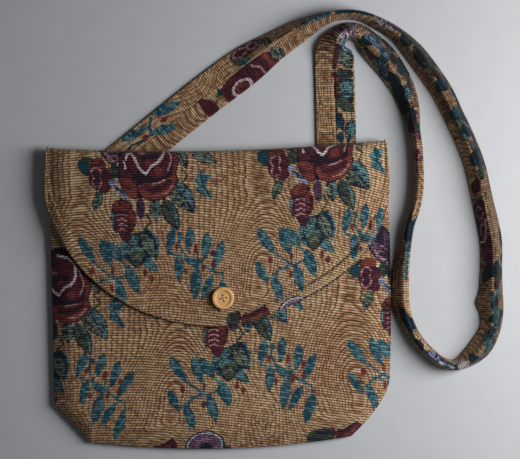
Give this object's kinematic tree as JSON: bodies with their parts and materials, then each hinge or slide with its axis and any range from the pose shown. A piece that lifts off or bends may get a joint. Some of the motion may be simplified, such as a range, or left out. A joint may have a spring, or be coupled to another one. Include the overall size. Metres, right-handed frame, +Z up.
{
  "type": "haversack",
  "caption": "Flat cloth shoulder bag of floral tapestry with a rounded flap, a wooden button and a long folded cloth strap, lying on its back.",
  "frame": {"origin": "bottom centre of the bag without its strap, on the surface that it lies on", "axes": "+X across the bag to the right, +Y from the bottom of the bag to its fold, +Z up out of the flap"},
  "size_m": [0.4174, 0.3986, 0.0254],
  "materials": {
    "tapestry": "ribbed woven tapestry, matt",
    "strap_cloth": "folded tapestry, matt",
    "lining": "plain cotton, matt",
    "button_wood": "turned and sealed, satin",
    "thread": "twisted cotton thread"
  },
  "bodies": {
    "root": {"back_panel": "tapestry", "front_panel": "tapestry", "flap": "tapestry", "lining_back": "lining", "lining_front": "lining", "flap_lining": "lining", "shoulder_strap": "strap_cloth", "button": "button_wood", "button_thread": "thread"}
  },
  "joints": []
}
